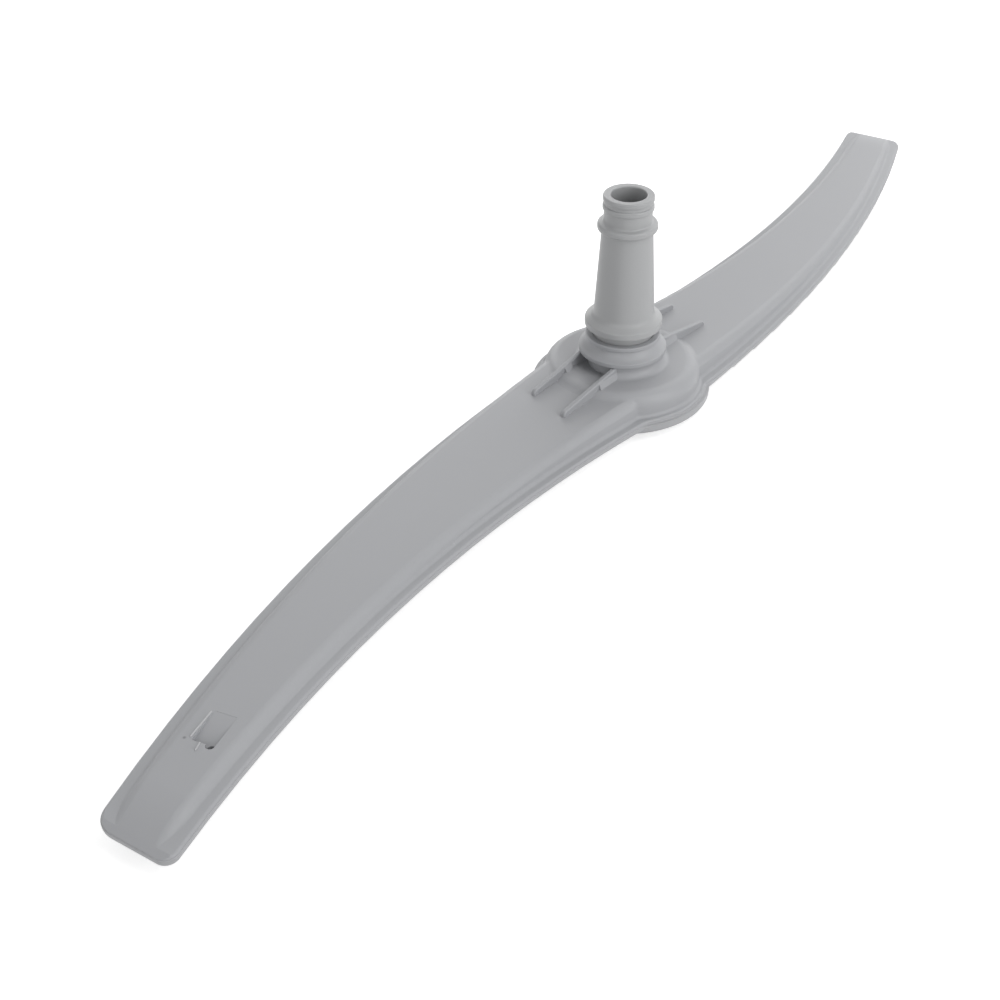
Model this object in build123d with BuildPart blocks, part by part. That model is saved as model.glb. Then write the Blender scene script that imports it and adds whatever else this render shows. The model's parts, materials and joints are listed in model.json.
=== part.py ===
from build123d import *
from math import atan2, cos, degrees, hypot, radians, sin, sqrt
import os

# Dishwasher spray arm: two welded half shells that spin on a snapped-in inlet neck.
# Millimetres, +Z up along the neck, origin on the spin axis at the surface the arm rests on.

# Plan of the near arm: its two arc-shaped edges, by how far inside the hub's rim they pass the spin axis
# and where they stand half way out and at the tip
TIP_TO_TIP = 465.0
OUTER_SETBACK = 4.2
OUTER_MIDDLE_Y = 28.22
OUTER_TIP_Y = 9.16
INNER_SETBACK = 3.26
INNER_MIDDLE_Y = -6.06
INNER_TIP_Y = -14.29
OUTER_TIP_R = 7.0
INNER_TIP_R = 3.5
BODY_TIP_R = 3.0
HUB_R = 29.0
OUTER_BLEND_R = 3.0
INNER_BLEND_R = 9.0

# Shells
WALL = 1.5
DRAFT = 0.17
RIM_H = 2.0
RIM_ROUND = 1.4
FLANGE_T = 1.0
FLANGE_INSET = 0.25
FLANGE_W = 3.15
FLANGE_ROUND = 0.8
HUB_FLANGE_INSET = 1.2
FOOT_R = 1.2
SHOULDER_R = 3.0
CREST_HUB = 7.8
CREST_MID = 4.2
CREST_TIP = 2.8
TIP_RAMP = 16.0
TIP_EDGE_T = 0.3
TIP_LAND = 0.5

# Hidden spray face
BELLY_INSET = 4.5
BELLY_HUB = 3.4
BELLY_MID = 2.8
BELLY_TIP = 1.8
BELLY_SINK = 0.3
BELLY_ROUND = 1.2
HUB_RIM_DROP = 1.2
HUB_FOOT_DROP = 4.4
HUB_FOOT_R = 21.0
NOZZLE_COUNT = 5
NOZZLE_FROM_HUB = 58.0
NOZZLE_FROM_TIP = 17.0
NOZZLE_PAD_R = 5.0
NOZZLE_PAD_H = 0.7
NOZZLE_SLOT_L = 6.0
NOZZLE_SLOT_W = 1.8
NOZZLE_TURN = 35.0

# Hub dome and bearing cup
DOME_H = 8.5
DOME_DRAFT = 0.06
DOME_SHOULDER_R = 4.5
CREASE_R = 3.0
STEM_R = 13.3
STEM_FILLET_R = 2.2
CUP_LIP_R = 14.2
CUP_LIP_T = 1.6
CUP_WAIST_R = 11.5
CUP_SKIRT_DIP = 0.6
CUP_TOP_R = 12.1
CUP_TOP_T = 1.5
CUP_LIP_H = 12.9
CUP_H = 18.4
LIP_ROUND = 0.4
THRUST_BORE_R = 10.2
THRUST_DEPTH = 2.9
JOURNAL_BORE_R = 9.2
HUB_TUBE_WALL = 2.0
HUB_TUBE_DROP = 5.5

# Gusset ribs, wedge-shaped on their front near the hub, and the pits under the cup's lip between them
RIB_T = 1.6
RIB_WEDGE_T = 1.3
RIB_WEDGE_H = 1.9
RIB_WEDGE_R = 21.5
RIB_ROUND = 0.5
RIB_TURN = -8.5
RIB_NOSE_H = 1.7
RIB_NOSE_R = 1.5
REAR_RIB_Y = 8.9
REAR_RIB_ENDS = (-34.5, 40.5)
FRONT_RIB_Y = -5.9
FRONT_RIB_ENDS = (-38.0, 37.5)
PIT_R = 13.6
PIT_BROW_W = 4.3
PIT_DEPTH = 4.0

# Angled jet recess near one tip
JET_FROM_TIP = 36.3
JET_OFFSET = -0.6
JET_LENGTH = 10.6
JET_WIDTH = 6.4
JET_DEPTH = 1.8
JET_WELL_R = 1.2
JET_WELL_DEPTH = 2.6
JET_HOLE_R = 0.7
JET_BOSS_WALL = 1.3
JET_BOSS_H = 3.0

# Inlet neck
NECK_H = 65.7
NECK_BORE_R = 5.55
NECK_BORE_L = 36.0
BORE_MOUTH_R = 0.4
NECK_R = 7.5
SEAL_R = 7.95
SEAL_H = 1.8
SEAL_GAP = 1.1
SEAL_ROUND = 0.5
COLLAR_R = 9.4
COLLAR_DROP = 10.2
COLLAR_T = 2.0
COLLAR_SLOPE = 0.4
COLLAR_ROUND = 0.8
COLLAR_BLEND = 0.6
CONE_TOP_R = 8.0
CONE_FOOT_R = 9.7
CONE_BLEND = 2.0
RUN_FLANGE_R = 12.4
RUN_FLANGE_T = 2.2
RUN_FLANGE_SLOPE = 1.6
RUN_FLANGE_ROUND = 0.4
RUN_GAP = 2.8
RUN_CLEARANCE = 0.25
THRUST_GAP = 0.25
NECK_WALL = 2.0
SNAP_REACH = 0.7
SNAP_LAND = 0.8
SNAP_LEAD = 1.6
SNAP_SLOT_W = 2.2
SNAP_SLOT_L = 9.0
SNAP_SLOT_PAIRS = 2

# Levels, upwards from the surface that the hub foot rests on
RIM_Z = HUB_FOOT_DROP
SEAM_Z = RIM_Z + RIM_H
FLANGE_Z = SEAM_Z + FLANGE_T
DOME_Z = SEAM_Z + DOME_H
LIP_BOTTOM_Z = SEAM_Z + CUP_LIP_H - CUP_LIP_T / 2
LIP_TOP_Z = LIP_BOTTOM_Z + CUP_LIP_T
CUP_Z = SEAM_Z + CUP_H
CUP_TOP_Z = CUP_Z - CUP_TOP_T
THRUST_Z = CUP_Z - THRUST_DEPTH
PIT_Z = DOME_Z - PIT_DEPTH
TUBE_Z = DOME_Z - WALL - HUB_TUBE_DROP
NECK_Z = SEAM_Z + NECK_H
COLLAR_Z = NECK_Z - COLLAR_DROP
RUN_FLANGE_Z = CUP_Z + RUN_GAP
RUN_FLANGE_TOP_Z = RUN_FLANGE_Z + RUN_FLANGE_T
SHOULDER_Z = THRUST_Z + THRUST_GAP
SNAP_TOP_Z = TUBE_Z - THRUST_GAP
SNAP_Z = SNAP_TOP_Z - SNAP_LAND - SNAP_LEAD
HUB_RIM_BOTTOM_Z = RIM_Z - HUB_RIM_DROP

# Sizes that follow from the ones above
HALF_LENGTH = TIP_TO_TIP / 2
MIDDLE_X = -HALF_LENGTH / 2
RAMP_X = TIP_RAMP - HALF_LENGTH
JET_X = JET_FROM_TIP - HALF_LENGTH
NOZZLE_RUN = HALF_LENGTH - NOZZLE_FROM_HUB - NOZZLE_FROM_TIP
BODY_INSET = FLANGE_INSET + FLANGE_W
SIDE_R = HUB_R - BODY_INSET
DOME_R = SIDE_R - DOME_DRAFT * DOME_H
PIT_BROW_R = PIT_R + PIT_BROW_W
HUB_TUBE_R = JOURNAL_BORE_R + HUB_TUBE_WALL
JOURNAL_R = JOURNAL_BORE_R - RUN_CLEARANCE
THRUST_R = THRUST_BORE_R - RUN_CLEARANCE
SNAP_R = JOURNAL_BORE_R + SNAP_REACH
SNAP_TIP_R = JOURNAL_R - SNAP_REACH
SNAP_BORE_R = JOURNAL_R - NECK_WALL
SEAL_MID_R = (NECK_BORE_R + SEAL_ROUND + SEAL_R) / 2
CREST = (CREST_HUB, CREST_MID, CREST_TIP, TIP_EDGE_T)
BELLY = (BELLY_HUB, BELLY_MID, BELLY_TIP, -BELLY_SINK)
VOID_CREST = tuple(height - WALL for height in CREST)
VOID_BELLY = tuple(height - WALL for height in BELLY)
OVERLAP = 2 * WALL
HALF_TURN = 180
HANG = (Align.CENTER, Align.CENTER, Align.MAX)
STAND = (Align.CENTER, Align.CENTER, Align.MIN)
TOUCH = 0.01
MIDDLE = 0.5
STEEP = 0.5


def arm_edge(hub_y, middle_y, tip_y):
    """One edge of the near arm: the arc through its points at the hub, half way out and at the tip."""
    return ThreePointArc((0, hub_y), (MIDDLE_X, middle_y), (-HALF_LENGTH, tip_y))


OUTER_EDGE = arm_edge(HUB_R - OUTER_SETBACK, OUTER_MIDDLE_Y, OUTER_TIP_Y)
INNER_EDGE = arm_edge(INNER_SETBACK - HUB_R, INNER_MIDDLE_Y, INNER_TIP_Y)


def edge_height(edge, x):
    """Y of one edge of the near arm at a given x."""
    centre = edge.arc_center
    return centre.Y + sqrt(edge.radius ** 2 - (x - centre.X) ** 2)


def arm_middle(x):
    """Y of the near arm's centre line."""
    return (edge_height(OUTER_EDGE, x) + edge_height(INNER_EDGE, x)) / 2


def arm_heading(x):
    """Angle in degrees of the near arm's centre line to the X axis."""
    return degrees(atan2(arm_middle(x + 1) - arm_middle(x - 1), 2))


def crest_height(x, crest):
    """Height of an arm's crest over its parting plane, on the curve through its named heights."""
    hub, middle, tip, _ = crest
    u = -abs(x) / RAMP_X
    m = MIDDLE_X / RAMP_X
    bend = ((middle - hub) / m - (tip - hub)) / (m - 1)
    return hub + (tip - hub - bend) * u + bend * u * u


def arm_plan(inset, tip_inset, outer_tip_r, inner_tip_r):
    """The near arm between its two edges, from the spin axis to the tip, drawn inside the rim."""
    half = HALF_LENGTH - tip_inset
    with BuildSketch() as plan:
        with Locations(OUTER_EDGE.arc_center):
            Circle(OUTER_EDGE.radius - inset)
        with Locations(INNER_EDGE.arc_center):
            Circle(INNER_EDGE.radius + inset, mode=Mode.SUBTRACT)
        with Locations((-half / 2, 0)):
            Rectangle(half, HALF_LENGTH, mode=Mode.INTERSECT)
        fillet(plan.vertices().group_by(Axis.X)[0].sort_by(Axis.Y)[0], inner_tip_r)
        fillet(plan.vertices().group_by(Axis.X)[0].sort_by(Axis.Y)[-1], outer_tip_r)
    return plan.sketch


def whole_plan(inset, hub_inset):
    """Both arms, a half turn apart, joined by the round hub, drawn inside the rim."""
    arm = arm_plan(inset, inset, OUTER_TIP_R - inset, INNER_TIP_R - inset)
    hub_r = HUB_R - hub_inset
    with BuildSketch() as plan:
        add(arm)
        add(arm.rotate(Axis.Z, HALF_TURN))
        Circle(hub_r)
        for blend_r, side in ((OUTER_BLEND_R, -1), (INNER_BLEND_R, 1)):
            corners = plan.vertices().filter_by(lambda v: abs(hypot(v.X, v.Y) - hub_r) < TOUCH)
            fillet(corners.filter_by(lambda v: side * v.X * v.Y > 0), blend_r)
    return plan.sketch


def above_crest(crest):
    """The space over the near arm's crest, which falls along the arm and ramps down to the tip's edge."""
    hub, middle, tip, end = crest
    top = hub + 2 * OVERLAP
    beyond = -HALF_LENGTH - OVERLAP
    with BuildPart() as space:
        with BuildSketch(Plane.XZ):
            with BuildLine():
                fall = ThreePointArc((0, hub), (MIDDLE_X, middle), (RAMP_X, tip))
                TangentArc((RAMP_X, tip), (-HALF_LENGTH, end), tangent=fall % 1)
                Polyline((-HALF_LENGTH, end), (beyond, end), (beyond, top), (OVERLAP, top), (OVERLAP, hub),
                         (0, hub))
            make_face()
        extrude(amount=HALF_LENGTH, both=True)
    return space.part


def drafted_arm(inset, tip_inset, crest, edge_r):
    """The near arm's form over its parting plane: drafted walls, a falling crest and round shoulders."""
    hub, _, _, end = crest
    with BuildPart() as form:
        for level in (-OVERLAP, hub + OVERLAP):
            draft = level * DRAFT
            with BuildSketch(Plane.XY.offset(level)):
                add(arm_plan(inset + draft, tip_inset + draft, BODY_TIP_R, BODY_TIP_R))
        loft(ruled=True)
        add(above_crest(crest), mode=Mode.SUBTRACT)
        roof = form.faces().filter_by(lambda f: f.center().Z > end - TOUCH and f.normal_at().Z > STEEP)
        rim = [e for e in roof.edges() if sum(e in f.edges() for f in roof) == 1]
        fillet([e for e in rim if e.center().X < -OVERLAP], edge_r)
    return form.part


def spans(shape, low, high):
    """Whether a face or an edge reaches from one level to another."""
    box = shape.bounding_box()
    return box.min.Z < low + TOUCH and box.max.Z > high - TOUCH


def at_level(shapes, z):
    """The faces or edges that lie flat at one level."""
    flat = shapes.filter_by(lambda s: s.bounding_box().size.Z < TOUCH)
    return flat.filter_by(lambda s: abs(s.center().Z - z) < TOUCH)


def corner(sketch, place):
    """The vertex of a sketch that is nearest to a point."""
    return min(sketch.vertices(), key=lambda v: hypot(v.X - place[0], v.Y - place[1]))


def gusset(offset, ends):
    """A thin plate through the hub: from a round nose on each arm up to the underside of the cup's lip."""
    along = rib_frame.x_dir
    across = rib_frame.y_dir
    near, far = ends
    crests = [SEAM_Z + crest_height(end, CREST) for end in ends]
    feet = [level - WALL / 2 for level in crests]
    noses = [level + RIB_NOSE_H for level in crests]
    stem = sqrt(STEM_R ** 2 - offset ** 2)
    root = DOME_Z - WALL / 2
    wedge = sqrt(RIB_WEDGE_R ** 2 - offset ** 2)
    with BuildPart() as plate:
        with BuildSketch(Plane(origin=across * offset, x_dir=along, z_dir=-across)) as side:
            with BuildLine():
                Polyline((near, feet[0]), (near, noses[0]), (-stem, LIP_BOTTOM_Z), (stem, LIP_BOTTOM_Z),
                         (far, noses[1]), (far, feet[1]), (stem, root), (-stem, root), close=True)
            make_face()
            for end, nose in zip(ends, noses):
                fillet(corner(side, (end, nose)), RIB_NOSE_R)
        extrude(amount=RIB_T / 2, both=True)
        tops = plate.faces().filter_by(lambda f: f.normal_at().Z > TOUCH)
        ridges = tops.filter_by(lambda f: abs(f.center().dot(along)) > stem)
        fillet(ridges.edges().filter_by(lambda e: abs((e % MIDDLE).dot(across)) < STEEP), RIB_ROUND)
        with BuildSketch(Plane(origin=across * offset, x_dir=-across, z_dir=-along)):
            with BuildLine():
                Polyline((0, root), (RIB_T / 2 + RIB_WEDGE_T, root), (RIB_T / 2, DOME_Z + RIB_WEDGE_H),
                         (0, DOME_Z + RIB_WEDGE_H), close=True)
            make_face()
        extrude(amount=wedge, both=True)
    return plate.part


def turned(part):
    """The half-turned twin of a feature of the near arm."""
    return part.rotate(Axis.Z, HALF_TURN)


# Neck-side shell: flange, raised arms, hub dome and bearing cup, hollow inside
rib_frame = Plane.XY.rotated((0, 0, RIB_TURN))
seam = Location((0, 0, SEAM_Z))
raised_arm = drafted_arm(BODY_INSET, FLANGE_INSET + TIP_LAND, CREST, SHOULDER_R).moved(seam)
hollow_arm = drafted_arm(BODY_INSET + WALL, BODY_INSET + WALL, VOID_CREST, SHOULDER_R - WALL / 2).moved(seam)
over_arm = above_crest(CREST).moved(Location((0, 0, SEAM_Z + TOUCH)))
tip_ramp = split(over_arm, bisect_by=Plane.YZ.offset(RAMP_X), keep=Keep.BOTTOM)
jet_heading = radians(arm_heading(JET_X))
jet_plane = Plane(
    origin=(JET_X, arm_middle(JET_X) + JET_OFFSET, SEAM_Z + crest_height(JET_X, CREST)),
    x_dir=(cos(jet_heading), sin(jet_heading), 0),
)
jet_well = (-JET_LENGTH / 2, JET_WELL_R - JET_WIDTH / 2)

# Pits that roll down from the dome to core out the hub under the cup's lip, between the gussets
with BuildPart() as pits:
    with BuildSketch(Plane.XZ):
        with BuildLine():
            TangentArc((PIT_BROW_R, DOME_Z), (PIT_R, PIT_Z), tangent=(-1, 0))
            Polyline((PIT_R, PIT_Z), (HUB_TUBE_R, PIT_Z), (HUB_TUBE_R, LIP_BOTTOM_Z),
                     (PIT_BROW_R, LIP_BOTTOM_Z), (PIT_BROW_R, DOME_Z))
        make_face()
    revolve(axis=Axis.Z)
    with BuildSketch(rib_frame):
        with Locations((0, (REAR_RIB_Y + FRONT_RIB_Y) / 2)):
            Rectangle(2 * PIT_BROW_R, REAR_RIB_Y - FRONT_RIB_Y - RIB_T)
    extrude(amount=LIP_BOTTOM_Z, mode=Mode.INTERSECT)

# The flange that is welded to the rim
with BuildPart() as flange:
    with BuildSketch(Plane.XY.offset(SEAM_Z)):
        add(whole_plan(FLANGE_INSET, HUB_FLANGE_INSET))
    extrude(amount=FLANGE_T)
    fillet(at_level(flange.edges(), FLANGE_Z), FLANGE_ROUND)

with BuildPart() as neck_side_shell:
    add([raised_arm, turned(raised_arm)])
    split(bisect_by=Plane.XY.offset(SEAM_Z), keep=Keep.TOP)
    add(flange.part)
    with BuildSketch(Plane.XZ) as hub_profile:
        with BuildLine():
            Polyline((0, SEAM_Z), (SIDE_R, SEAM_Z), (DOME_R, DOME_Z), (STEM_R, DOME_Z),
                     (STEM_R, LIP_BOTTOM_Z), (CUP_LIP_R, LIP_BOTTOM_Z), (CUP_LIP_R, LIP_TOP_Z))
            SagittaArc((CUP_LIP_R, LIP_TOP_Z), (CUP_WAIST_R, CUP_TOP_Z), CUP_SKIRT_DIP)
            Polyline((CUP_WAIST_R, CUP_TOP_Z), (CUP_TOP_R, CUP_TOP_Z), (CUP_TOP_R, CUP_Z), (0, CUP_Z),
                     (0, SEAM_Z))
        make_face()
        fillet(corner(hub_profile, (DOME_R, DOME_Z)), DOME_SHOULDER_R)
        fillet(corner(hub_profile, (STEM_R, DOME_Z)), STEM_FILLET_R)
        for radius, levels in ((CUP_LIP_R, (LIP_BOTTOM_Z, LIP_TOP_Z)), (CUP_TOP_R, (CUP_TOP_Z, CUP_Z))):
            for level in levels:
                fillet(corner(hub_profile, (radius, level)), LIP_ROUND)
    revolve(axis=Axis.Z)
    creases = neck_side_shell.edges().filter_by(lambda e: DOME_R < hypot(e.center().X, e.center().Y) < SIDE_R)
    fillet(creases.filter_by(lambda e: spans(e, FLANGE_Z, FLANGE_Z + FLANGE_T)), CREASE_R)
    flange_top = at_level(neck_side_shell.faces(), FLANGE_Z).sort_by(SortBy.AREA)[-1]
    fillet(flange_top.inner_wires()[0].edges(), FOOT_R)
    add([tip_ramp, turned(tip_ramp)], mode=Mode.SUBTRACT)
    add([hollow_arm, turned(hollow_arm)], mode=Mode.SUBTRACT)
    with BuildSketch(Plane.XZ):
        with BuildLine():
            Polyline((0, SEAM_Z), (SIDE_R - WALL, SEAM_Z), (DOME_R - WALL, DOME_Z - WALL),
                     (PIT_BROW_R, DOME_Z - WALL), (PIT_R, PIT_Z - WALL), (HUB_TUBE_R, PIT_Z - WALL),
                     (HUB_TUBE_R, TUBE_Z), (0, TUBE_Z), close=True)
        make_face()
    revolve(axis=Axis.Z, mode=Mode.SUBTRACT)
    add([gusset(REAR_RIB_Y, REAR_RIB_ENDS), gusset(FRONT_RIB_Y, FRONT_RIB_ENDS)])
    add(pits.part, mode=Mode.SUBTRACT)
    with Locations((0, 0, CUP_Z)):
        Cylinder(THRUST_BORE_R, THRUST_DEPTH, align=HANG, mode=Mode.SUBTRACT)
        Cylinder(JOURNAL_BORE_R, CUP_Z - TUBE_Z, align=HANG, mode=Mode.SUBTRACT)
    # Angled jet recess: a ramp with a round well at its deep end, over a solid boss inside the channel
    with BuildSketch(jet_plane.offset(-WALL / 2)):
        Rectangle(JET_LENGTH + 2 * JET_BOSS_WALL, JET_WIDTH + 2 * JET_BOSS_WALL)
    extrude(amount=-JET_BOSS_H)
    with BuildSketch(Plane(jet_plane.origin, x_dir=jet_plane.x_dir, z_dir=-jet_plane.y_dir)):
        with BuildLine():
            TangentArc((JET_LENGTH / 2, 0), (-JET_LENGTH / 2, -JET_DEPTH), tangent=(-1, 0))
            Polyline((-JET_LENGTH / 2, -JET_DEPTH), (-JET_LENGTH / 2, JET_DEPTH), (JET_LENGTH / 2, JET_DEPTH),
                     (JET_LENGTH / 2, 0))
        make_face()
    extrude(amount=JET_WIDTH / 2, both=True, mode=Mode.SUBTRACT)
    with BuildSketch(jet_plane.offset(JET_DEPTH)):
        with Locations(jet_well):
            Circle(JET_WELL_R)
    extrude(amount=-JET_DEPTH - JET_WELL_DEPTH, mode=Mode.SUBTRACT)
    with BuildSketch(jet_plane):
        with Locations(jet_well):
            Circle(JET_HOLE_R)
    extrude(amount=-2 * JET_BOSS_H, mode=Mode.SUBTRACT)

# Spray-side shell: rim, shallow belly and hub foot, hollow inside, with slotted nozzles
underside = Location((0, 0, RIM_Z))
belly_arm = drafted_arm(BELLY_INSET, BELLY_INSET, BELLY, BELLY_ROUND).mirror(Plane.XY).moved(underside)
void_inset = BELLY_INSET + WALL
belly_void = drafted_arm(void_inset, void_inset, VOID_BELLY, WALL / 2).mirror(Plane.XY).moved(underside)
nozzles = []
for number in range(NOZZLE_COUNT):
    for side, shift in ((-1, 0), (1, MIDDLE)):
        reach = NOZZLE_FROM_HUB + NOZZLE_RUN * (number + shift) / (NOZZLE_COUNT - MIDDLE)
        turn = arm_heading(-reach) + NOZZLE_TURN * (-1) ** number
        pad = crest_height(reach, BELLY) + NOZZLE_PAD_H
        nozzles.append((Location((side * reach, -side * arm_middle(-reach), RIM_Z), (0, 0, turn)), pad))

with BuildPart() as spray_side_shell:
    with BuildSketch(Plane.XY.offset(RIM_Z)):
        add(whole_plan(0, 0))
    extrude(amount=RIM_H)
    fillet(at_level(spray_side_shell.edges(), RIM_Z), RIM_ROUND)
    add([belly_arm, turned(belly_arm)])
    split(bisect_by=Plane.XY.offset(SEAM_Z), keep=Keep.BOTTOM)
    with BuildSketch(Plane.XZ) as foot_profile:
        with BuildLine():
            Polyline((0, 0), (HUB_FOOT_R, 0), (HUB_R - BELLY_INSET, HUB_RIM_BOTTOM_Z),
                     (HUB_R, HUB_RIM_BOTTOM_Z), (HUB_R, SEAM_Z), (0, SEAM_Z), close=True)
        make_face()
        fillet(corner(foot_profile, (HUB_FOOT_R, 0)), BELLY_ROUND)
        fillet(corner(foot_profile, (HUB_R, HUB_RIM_BOTTOM_Z)), RIM_ROUND)
    revolve(axis=Axis.Z)
    for place, pad in nozzles:
        with Locations(place):
            Cylinder(NOZZLE_PAD_R, pad, align=HANG)
    add([belly_void, turned(belly_void)], mode=Mode.SUBTRACT)
    with BuildSketch(Plane.XZ):
        with BuildLine():
            Polyline((0, WALL), (HUB_FOOT_R - WALL, WALL), (SIDE_R - WALL, RIM_Z), (SIDE_R - WALL, SEAM_Z),
                     (0, SEAM_Z), close=True)
        make_face()
    revolve(axis=Axis.Z, mode=Mode.SUBTRACT)
    with BuildSketch():
        with Locations([place for place, pad in nozzles]):
            SlotOverall(NOZZLE_SLOT_L, NOZZLE_SLOT_W)
    extrude(amount=RIM_Z, mode=Mode.SUBTRACT)

# Inlet neck: a hollow spigot turned about the axis, with snap fingers at its lower end
flange_foot = (RUN_FLANGE_R, RUN_FLANGE_Z)
flange_brow = (RUN_FLANGE_R, RUN_FLANGE_TOP_Z)
cone_foot = (CONE_FOOT_R, RUN_FLANGE_TOP_Z + RUN_FLANGE_SLOPE)
cone_top = (CONE_TOP_R, COLLAR_Z - COLLAR_T / 2 - COLLAR_SLOPE)
collar_low = (COLLAR_R, COLLAR_Z - COLLAR_T / 2)
collar_high = (COLLAR_R, COLLAR_Z + COLLAR_T / 2)
spigot_foot = (NECK_R, COLLAR_Z + COLLAR_T / 2 + COLLAR_SLOPE)
bore_mouth = (NECK_BORE_R, NECK_Z)

with BuildPart() as inlet_neck:
    with BuildSketch(Plane.XZ) as neck_profile:
        with BuildLine():
            Polyline((SNAP_BORE_R, SNAP_Z), (SNAP_TIP_R, SNAP_Z), (SNAP_R, SNAP_Z + SNAP_LEAD),
                     (SNAP_R, SNAP_TOP_Z), (JOURNAL_R, SNAP_TOP_Z), (JOURNAL_R, SHOULDER_Z),
                     (THRUST_R, SHOULDER_Z), (THRUST_R, RUN_FLANGE_Z), flange_foot, flange_brow, cone_foot,
                     cone_top, collar_low, collar_high, spigot_foot, (NECK_R, NECK_Z), bore_mouth,
                     (NECK_BORE_R, NECK_Z - NECK_BORE_L), (SNAP_BORE_R, THRUST_Z), close=True)
        make_face()
        for level in (NECK_Z, NECK_Z - SEAL_H - SEAL_GAP):
            with Locations((SEAL_MID_R, level - SEAL_H / 2)):
                RectangleRounded(SEAL_R - NECK_BORE_R - SEAL_ROUND, SEAL_H, SEAL_ROUND)
        rounds = (
            (RUN_FLANGE_ROUND, (flange_foot, flange_brow)),
            (CONE_BLEND, (cone_foot,)),
            (COLLAR_BLEND, (cone_top, spigot_foot)),
            (COLLAR_ROUND, (collar_low, collar_high)),
            (BORE_MOUTH_R, (bore_mouth,)),
        )
        for radius, places in rounds:
            fillet([corner(neck_profile, place) for place in places], radius)
    revolve(axis=Axis.Z)
    with Locations((0, 0, SNAP_Z)):
        with PolarLocations(0, SNAP_SLOT_PAIRS, angular_range=HALF_TURN):
            Box(2 * SNAP_R, SNAP_SLOT_W, SNAP_SLOT_L, align=STAND, mode=Mode.SUBTRACT)

os.makedirs("parts", exist_ok=True)
pieces = {"neck_side_shell": neck_side_shell, "spray_side_shell": spray_side_shell, "inlet_neck": inlet_neck}
for name, piece in pieces.items():
    piece.part.label = name
    export_step(piece.part, f"parts/{name}.step")
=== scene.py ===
"""Dishwasher spray arm: moulded finishes, moulding marks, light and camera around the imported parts."""
import json
from math import cos, radians, sin

import bpy
from mathutils import Matrix, Vector

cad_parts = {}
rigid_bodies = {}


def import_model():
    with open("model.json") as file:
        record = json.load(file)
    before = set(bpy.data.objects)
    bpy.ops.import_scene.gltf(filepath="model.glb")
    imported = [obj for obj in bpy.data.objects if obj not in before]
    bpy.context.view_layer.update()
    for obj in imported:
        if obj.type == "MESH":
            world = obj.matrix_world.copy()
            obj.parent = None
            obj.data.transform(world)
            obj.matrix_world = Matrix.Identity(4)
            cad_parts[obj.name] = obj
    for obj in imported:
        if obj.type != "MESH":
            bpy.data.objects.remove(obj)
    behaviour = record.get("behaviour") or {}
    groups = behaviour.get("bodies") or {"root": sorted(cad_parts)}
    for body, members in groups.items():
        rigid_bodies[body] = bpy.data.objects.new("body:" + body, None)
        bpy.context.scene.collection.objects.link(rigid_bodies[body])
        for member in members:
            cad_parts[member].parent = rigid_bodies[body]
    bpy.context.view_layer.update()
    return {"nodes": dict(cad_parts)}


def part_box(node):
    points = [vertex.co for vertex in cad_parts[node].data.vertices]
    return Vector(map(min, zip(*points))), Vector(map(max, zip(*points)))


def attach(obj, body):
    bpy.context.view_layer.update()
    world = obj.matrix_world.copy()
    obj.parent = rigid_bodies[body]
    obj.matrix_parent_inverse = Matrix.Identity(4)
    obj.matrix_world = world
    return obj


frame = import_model()

# Camera: where the spin axis meets the rim's underside, seen from above the near arm
FRAME_PX = 1000
FOCAL_PX = 1510.2
SENSOR = 36
PITCH = radians(36.24)
ROLL = radians(0.622)
HEADING = radians(57.18)
AIM_PX = (620.52, 383.98)
AIM_DEPTH = 0.4984
AIM_Z = 0.0044
NEAR_CLIP = 0.01

# Moulded grey polypropylene
SHELL_GREY = (0.385, 0.391, 0.407)
RIM_GREY = (0.402, 0.406, 0.419)
NECK_GREY = (0.402, 0.408, 0.414)
# Flash grey is lighter partly because thin flash is paler, partly as a painted highlight on the ridges
FLASH_PALE_AND_HIGHLIGHT_GREY = (0.510, 0.515, 0.525)
SHELL_ROUGHNESS = 0.46
RIM_ROUGHNESS = 0.44
NECK_ROUGHNESS = 0.40
FLASH_ROUGHNESS = 0.40
PLASTIC_IOR = 1.49
# Tone that the darker masks reach: scuffs on rim and flash, painted shade in the bore and at the pin's pit
SCUFF_AND_SHADE_TONE = 0.55

# Flow marks and grain: noise round its middle value, and how far it swings tone and gloss
NOISE_MIDDLE = 0.5
FLOW_SCALE = 14
FLOW_DETAIL = 3.0
FLOW_DISTORTION = 0.6
GRAIN_SCALE = 1500
GRAIN_DETAIL = 2.0
GRAIN_SHARE = 0.2
GRAIN_DEPTH = 0.00003
GRAIN_STRENGTH = 0.5
TINT_SWING = 0.05
FLOW_GLOSS_SWING = 0.10
GRAIN_GLOSS_SWING = 0.05

# Painted shade in the neck's bore, deepening from just under its mouth
BORE_SHADE_R = (0.0057, 0.0063)
BORE_SHADE_DEPTH = (0.0005, 0.0090)

# Painted shade: a dark dot for the small pit of an ejector pin beside the jet
PIN_PIT_SHADE = (-0.2023, 0.0081, 0.0093)
PIN_PIT_SHADE_R = (0.0002, 0.0006)

# Ridges of flash that the jet's core leaves beside its recess, by the middles of their ends
FLASH_RIDGES = {
    "jet_flash_long": ((-0.2015, 0.0070, 0.0093), (-0.1919, 0.0084, 0.0094)),
    "jet_flash_short": ((-0.2044, 0.0029, 0.0093), (-0.2014, 0.0038, 0.0093)),
}
FLASH_W = 0.0006
FLASH_H = 0.0008
FLASH_BROW = 0.25
FLASH_ROUND = FLASH_W / 12
FLASH_STEPS = 2
FLASH_SMOOTH = radians(30)
FACING_UP = 0.5

# Scuffs along the rim
SCUFF_SCALE = 420
SCUFF_DETAIL = 4.0
SCUFF_EDGE = (0.62, 0.74)
SCUFF_DEPTH = 0.25

# Bead that the weld squeezes out along the seam, under the flange
SEAM_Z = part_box("spray_side_shell")[1][2]
BEAD_R = 0.00030
BEAD_RESOLUTION = 2
BEAD_CUT = 0.0001
MERGE_GAP = 1e-6

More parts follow.
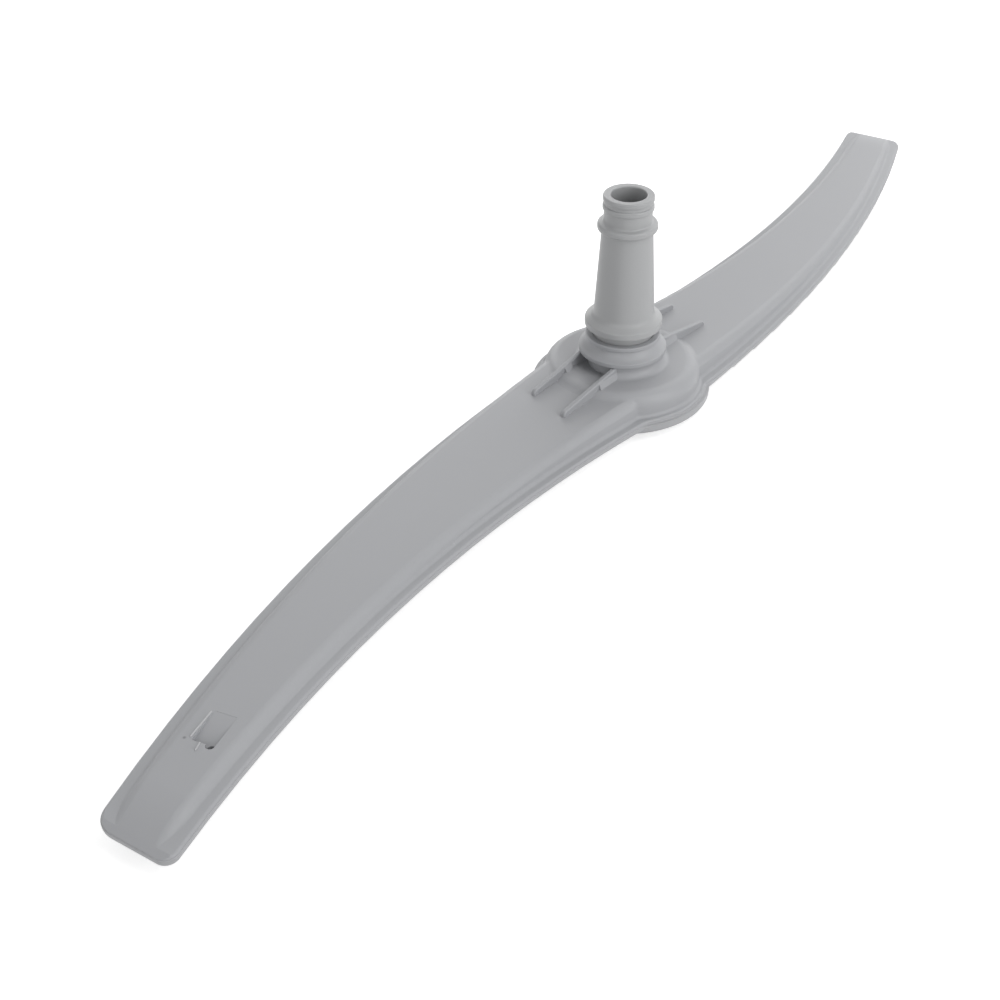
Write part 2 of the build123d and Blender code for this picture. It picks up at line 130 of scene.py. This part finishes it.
# Saddle of the dome's top between the ribs, which dips under the cup's lip
DOME_H = 0.0085
DOME_TOP_Z = SEAM_Z + DOME_H
SADDLE_BROW_R = 0.0179
SADDLE_TUBE_R = 0.0100
SADDLE_DIP = 0.0012
SADDLE_T = 0.0005
SADDLE_SIDES = 128
SADDLE_RINGS = 8
SADDLE_SMOOTH = radians(40)
RIB_TURN = radians(-8.5)
RIB_FACES = (-0.0055, 0.0085)

# Sockets of a Mix node that mixes colours, by number
MIX_FACTOR, MIX_FIRST, MIX_SECOND = 0, 6, 7
MIX_COLOUR = 2

# Studio
SEEN_RAYS = ("Is Camera Ray", "Is Glossy Ray", "Is Transmission Ray")
WORLD_LIGHT = 0.38
FLOOR_SIZE = 6
FLOOR_WHITE = 0.80
FLOOR_GLOW = 0.62
LAMP_DISTANCE = 1.0
LAMP_SIZE = 0.5
# Each softbox by its azimuth and elevation in degrees, and its power in watts
LAMPS = {
    "right_low": (270, 20, 2.6),
    "right_high": (270, 50, 2.2),
    "far_low": (0, 20, 0.9),
    "far_high": (0, 50, 1.6),
    "back_low": (45, 20, 1.9),
    "near_low": (180, 20, 1.2),
}


class Shade:
    """A socket of a node tree. Sums and products of sockets add the Math nodes that work them out."""

    def __init__(self, tree, socket=None):
        self.tree = tree
        self.socket = socket

    def node(self, kind, settings=None, inputs=None, output=0):
        """Add a node, set it up, feed its sockets by name or number, and hand back one output."""
        made = self.tree.nodes.new(kind)
        for name, value in (settings or {}).items():
            setattr(made, name, value)
        for name, value in (inputs or {}).items():
            if isinstance(value, Shade):
                self.tree.links.new(value.socket, made.inputs[name])
            else:
                made.inputs[name].default_value = value
        return Shade(self.tree, made.outputs[output] if made.outputs else None)

    def math(self, operation, left, right):
        return self.node("ShaderNodeMath", {"operation": operation}, {0: left, 1: right})

    def __add__(self, other):
        return self.math("ADD", self, other)

    def __radd__(self, other):
        return self.math("ADD", other, self)

    def __sub__(self, other):
        return self.math("SUBTRACT", self, other)

    def __rsub__(self, other):
        return self.math("SUBTRACT", other, self)

    def __mul__(self, other):
        return self.math("MULTIPLY", self, other)

    def __rmul__(self, other):
        return self.math("MULTIPLY", other, self)


def new_material(name):
    """An empty node material, with its tree wrapped for expressions."""
    material = bpy.data.materials.new(name)
    material.use_nodes = True
    material.node_tree.nodes.clear()
    return material, Shade(material.node_tree)


def shaded(grey, factor):
    return tuple(level * factor for level in grey) + (1,)


def mixed(tree, factor, first, second):
    """The colour that lies at factor between two colours."""
    colours = {MIX_FACTOR: factor, MIX_FIRST: first, MIX_SECOND: second}
    return tree.node("ShaderNodeMix", {"data_type": "RGBA"}, colours, MIX_COLOUR)


def band(tree, value, start, end):
    """0 up to start, 1 from end on, and a straight rise between them."""
    return tree.node("ShaderNodeMapRange", None, {"Value": value, "From Min": start, "From Max": end})


def bore_painted_shade(tree, place):
    """Painted shade inside the bore, darker from its mouth down."""
    mouth_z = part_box("inlet_neck")[1][2]
    across = tree.node("ShaderNodeVectorMath", {"operation": "MULTIPLY"}, {0: place, 1: (1, 1, 0)})
    radius = tree.node("ShaderNodeVectorMath", {"operation": "LENGTH"}, {0: across}, "Value")
    depth = mouth_z - tree.node("ShaderNodeSeparateXYZ", None, {"Vector": place}, "Z")
    return (1 - band(tree, radius, *BORE_SHADE_R)) * band(tree, depth, *BORE_SHADE_DEPTH)


def pin_pit_shade(tree, place):
    """Painted shade: the dark dot of an ejector pin's small pit, beside the jet."""
    reach = tree.node("ShaderNodeVectorMath", {"operation": "DISTANCE"}, {0: place, 1: PIN_PIT_SHADE}, "Value")
    return 1 - band(tree, reach, *PIN_PIT_SHADE_R)


def scuffs(tree, place):
    """Small rubbed spots, where racks and hands meet the rim."""
    spots = tree.node(
        "ShaderNodeTexNoise", None, {"Vector": place, "Scale": SCUFF_SCALE, "Detail": SCUFF_DETAIL})
    return SCUFF_DEPTH * band(tree, spots, *SCUFF_EDGE)


def moulded_plastic(name, grey, roughness, scuffs_and_shade):
    """Satin polypropylene: slow flow marks in tone and gloss over a fine grain, with a darker mask on top:
    real scuffs, or painted shade.
    """
    material, tree = new_material(name)
    place = tree.node("ShaderNodeTexCoord", output="Object")
    flow = tree.node("ShaderNodeTexNoise", None, {
        "Vector": place, "Scale": FLOW_SCALE, "Detail": FLOW_DETAIL, "Distortion": FLOW_DISTORTION})
    grain = tree.node(
        "ShaderNodeTexNoise", None, {"Vector": place, "Scale": GRAIN_SCALE, "Detail": GRAIN_DETAIL})
    marks = (1 - GRAIN_SHARE) * flow + GRAIN_SHARE * grain
    tone = mixed(tree, marks, shaded(grey, 1 - TINT_SWING), shaded(grey, 1 + TINT_SWING))
    # Darker where the mask says: real scuffs, or painted shade in the bore and at the pin's pit
    scuffed_and_shaded = mixed(tree, scuffs_and_shade(tree, place), tone, shaded(grey, SCUFF_AND_SHADE_TONE))
    flow_gloss = FLOW_GLOSS_SWING * (flow - NOISE_MIDDLE)
    grain_gloss = GRAIN_GLOSS_SWING * (grain - NOISE_MIDDLE)
    gloss = roughness + flow_gloss + grain_gloss
    bump = tree.node(
        "ShaderNodeBump", None, {"Height": grain, "Distance": GRAIN_DEPTH, "Strength": GRAIN_STRENGTH})
    plastic = tree.node("ShaderNodeBsdfPrincipled", None, {
        "Base Color": scuffed_and_shaded, "Roughness": gloss, "Normal": bump, "IOR": PLASTIC_IOR})
    tree.node("ShaderNodeOutputMaterial", None, {"Surface": plastic})
    return material


def dress(node, material):
    """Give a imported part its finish."""
    slots = frame["nodes"][node].data.materials
    slots.clear()
    slots.append(material)


def add_weld_bead(material):
    """A thin bead round the seam, swept along the flange's own outline just above the rim."""
    bpy.ops.object.select_all(action="DESELECT")
    bead = bpy.data.objects.new("weld_bead", frame["nodes"]["neck_side_shell"].data.copy())
    bpy.context.scene.collection.objects.link(bead)
    bead.select_set(True)
    bpy.context.view_layer.objects.active = bead
    bpy.ops.object.mode_set(mode="EDIT")
    bpy.ops.mesh.select_all(action="SELECT")
    bpy.ops.mesh.remove_doubles(threshold=MERGE_GAP)
    bpy.ops.mesh.bisect(
        plane_co=(0, 0, SEAM_Z + BEAD_CUT), plane_no=(0, 0, 1), clear_inner=True, clear_outer=True)
    bpy.ops.mesh.select_all(action="DESELECT")
    bpy.ops.object.mode_set(mode="OBJECT")
    max(bead.data.vertices, key=lambda vertex: vertex.co.x).select = True
    bpy.ops.object.mode_set(mode="EDIT")
    bpy.ops.mesh.select_linked()
    bpy.ops.mesh.select_all(action="INVERT")
    bpy.ops.mesh.delete(type="VERT")
    bpy.ops.object.mode_set(mode="OBJECT")
    bpy.ops.object.convert(target="CURVE")
    bead.data.bevel_depth = BEAD_R
    bead.data.bevel_resolution = BEAD_RESOLUTION
    bpy.ops.object.convert(target="MESH")
    bpy.ops.object.shade_smooth()
    bead.data.materials.clear()
    bead.data.materials.append(material)
    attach(bead, "arm")


def add_saddle(material):
    """The dome's top carried on between the ribs, in rings that dip towards the hub tube."""
    bpy.ops.object.select_all(action="DESELECT")
    bpy.ops.mesh.primitive_circle_add(vertices=SADDLE_SIDES, radius=SADDLE_BROW_R)
    saddle = bpy.context.object
    saddle.name = "hub_saddle"
    bpy.ops.object.mode_set(mode="EDIT")
    bpy.ops.mesh.select_all(action="SELECT")
    bpy.ops.transform.translate(value=(0, 0, DOME_TOP_Z))
    radius, level = SADDLE_BROW_R, 0
    for ring in range(1, SADDLE_RINGS + 1):
        share = ring / SADDLE_RINGS
        inner = SADDLE_BROW_R - share * (SADDLE_BROW_R - SADDLE_TUBE_R)
        dip = SADDLE_DIP * share ** 2
        bpy.ops.mesh.extrude_edges_move(TRANSFORM_OT_translate={"value": (0, 0, level - dip)})
        shrink = inner / radius
        bpy.ops.transform.resize(value=(shrink, shrink, 1), center_override=(0, 0, DOME_TOP_Z))
        radius, level = inner, dip
    across = Vector((-sin(RIB_TURN), cos(RIB_TURN), 0))
    for reach, side in zip(RIB_FACES, (-1, 1)):
        bpy.ops.mesh.select_all(action="SELECT")
        bpy.ops.mesh.bisect(plane_co=across * reach, plane_no=across * side, clear_outer=True)
    bpy.ops.mesh.select_all(action="SELECT")
    bpy.ops.mesh.normals_make_consistent(inside=False)
    bpy.ops.object.mode_set(mode="OBJECT")
    if saddle.data.polygons[0].normal.z < 0:
        saddle.data.flip_normals()
    wall = saddle.modifiers.new("wall", "SOLIDIFY")
    wall.thickness = SADDLE_T
    bpy.ops.object.modifier_apply(modifier=wall.name)
    bpy.ops.object.shade_smooth_by_angle(angle=SADDLE_SMOOTH)
    saddle.data.materials.append(material)
    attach(saddle, "arm")


def add_flash(name, start, end, material):
    """A ridge with a narrow brow, half sunk in the shell's top from start to end."""
    start, end = Vector(start), Vector(end)
    along = end - start
    bpy.ops.object.select_all(action="DESELECT")
    bpy.ops.mesh.primitive_cube_add(size=1)
    ridge = bpy.context.object
    ridge.name = name
    bpy.ops.object.mode_set(mode="EDIT")
    bpy.ops.mesh.select_all(action="SELECT")
    bpy.ops.transform.resize(value=(along.length, FLASH_W, FLASH_H))
    bpy.ops.mesh.select_all(action="DESELECT")
    bpy.ops.object.mode_set(mode="OBJECT")
    for polygon in ridge.data.polygons:
        polygon.select = polygon.normal.z > FACING_UP
    bpy.ops.object.mode_set(mode="EDIT")
    bpy.ops.mesh.select_mode(type="FACE")
    bpy.ops.transform.resize(value=(1 - FLASH_W / along.length, FLASH_BROW, 1))
    bpy.ops.mesh.select_all(action="SELECT")
    bpy.ops.mesh.bevel(offset=FLASH_ROUND, segments=FLASH_STEPS, affect="EDGES")
    bpy.ops.object.mode_set(mode="OBJECT")
    turn = along.to_track_quat("X", "Z").to_matrix().to_4x4()
    ridge.data.transform(Matrix.Translation((start + end) / 2) @ turn)
    bpy.ops.object.shade_smooth_by_angle(angle=FLASH_SMOOTH)
    ridge.data.materials.append(material)
    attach(ridge, "arm")


def seen_as(tree):
    """1 for the rays that show the background itself: camera, mirror and glass rays."""
    seen = [tree.node("ShaderNodeLightPath", output=ray) for ray in SEEN_RAYS]
    return tree.math("MINIMUM", seen[0] + seen[1] + seen[2], 1.0)


def add_floor():
    """A pale floor that keeps a soft shadow and meets the white background."""
    bpy.ops.object.select_all(action="DESELECT")
    bpy.ops.mesh.primitive_plane_add(size=FLOOR_SIZE)
    floor = bpy.context.object
    floor.name = "studio_floor"
    material, tree = new_material("studio_floor")
    white = (FLOOR_WHITE, FLOOR_WHITE, FLOOR_WHITE, 1)
    matte = tree.node("ShaderNodeBsdfDiffuse", None, {"Color": white})
    glow = tree.node("ShaderNodeEmission", None, {"Strength": FLOOR_GLOW})
    lit = tree.node("ShaderNodeAddShader", None, {0: matte, 1: glow})
    surface = tree.node("ShaderNodeMixShader", None, {0: seen_as(tree), 1: matte, 2: lit})
    tree.node("ShaderNodeOutputMaterial", None, {"Surface": surface})
    floor.data.materials.append(material)


def add_world():
    """Even white light all round, with a plain white background behind it."""
    world = bpy.data.worlds.new("studio")
    bpy.context.scene.world = world
    world.use_nodes = True
    world.node_tree.nodes.clear()
    tree = Shade(world.node_tree)
    strength = WORLD_LIGHT + (1 - WORLD_LIGHT) * seen_as(tree)
    sky = tree.node("ShaderNodeBackground", None, {"Color": (1, 1, 1, 1), "Strength": strength})
    tree.node("ShaderNodeOutputWorld", None, {"Surface": sky})


def add_softbox(name, azimuth, elevation, power):
    """A square softbox on a sphere round the hub, which it faces."""
    light = bpy.data.lights.new(name, "AREA")
    light.size = LAMP_SIZE
    light.energy = power
    turn, lift = radians(azimuth), radians(elevation)
    place = LAMP_DISTANCE * Vector((cos(turn) * cos(lift), sin(turn) * cos(lift), sin(lift)))
    lamp = bpy.data.objects.new(name, light)
    lamp.location = place
    lamp.rotation_euler = (-place).to_track_quat("-Z", "Y").to_euler()
    bpy.context.scene.collection.objects.link(lamp)


def add_camera():
    """The photograph's view, from the pitch, roll and heading of its lens and the point that it aims at."""
    forward = Vector((0, cos(PITCH), -sin(PITCH)))
    level = Vector((1, 0, 0))
    below = forward.cross(level)
    right = cos(ROLL) * level + sin(ROLL) * below
    down = cos(ROLL) * below - sin(ROLL) * level
    across, deep = [(pixel - FRAME_PX / 2) / FOCAL_PX * AIM_DEPTH for pixel in AIM_PX]
    turn = Matrix.Rotation(-HEADING, 3, "Z")
    place = turn @ -(right * across + down * deep + forward * AIM_DEPTH)
    place.z += AIM_Z
    view = Matrix((turn @ right, turn @ -down, turn @ -forward)).transposed()
    lens = bpy.data.cameras.new("camera")
    lens.sensor_fit = "HORIZONTAL"
    lens.sensor_width = SENSOR
    lens.lens = FOCAL_PX / FRAME_PX * SENSOR
    lens.clip_start = NEAR_CLIP
    camera = bpy.data.objects.new("camera", lens)
    camera.matrix_world = Matrix.Translation(place) @ view.to_4x4()
    bpy.context.scene.collection.objects.link(camera)
    bpy.context.scene.camera = camera


rim_finish = moulded_plastic("rim_plastic_finish", RIM_GREY, RIM_ROUGHNESS, scuffs)
# The shell's finish carries a painted-shade dot for the pin's pit beside the jet.
shell_finish = moulded_plastic("shell_plastic_finish", SHELL_GREY, SHELL_ROUGHNESS, pin_pit_shade)
dress("neck_side_shell", shell_finish)
dress("spray_side_shell", rim_finish)
# The neck's finish darkens its bore with painted shade.
dress("inlet_neck", moulded_plastic("neck_plastic_finish", NECK_GREY, NECK_ROUGHNESS, bore_painted_shade))
add_weld_bead(rim_finish)
add_saddle(shell_finish)
# The flash's lighter grey is partly a painted highlight on its ridges
flash_pale_and_highlight_finish = moulded_plastic("jet_flash_pale_and_highlight_finish", FLASH_PALE_AND_HIGHLIGHT_GREY, FLASH_ROUGHNESS, scuffs)
for ridge_name, (start, end) in FLASH_RIDGES.items():
    add_flash(ridge_name, start, end, flash_pale_and_highlight_finish)
add_floor()
add_world()
for lamp_name, (azimuth, elevation, power) in LAMPS.items():
    add_softbox(lamp_name, azimuth, elevation, power)
add_camera()
bpy.context.scene.view_settings.view_transform = "Standard"
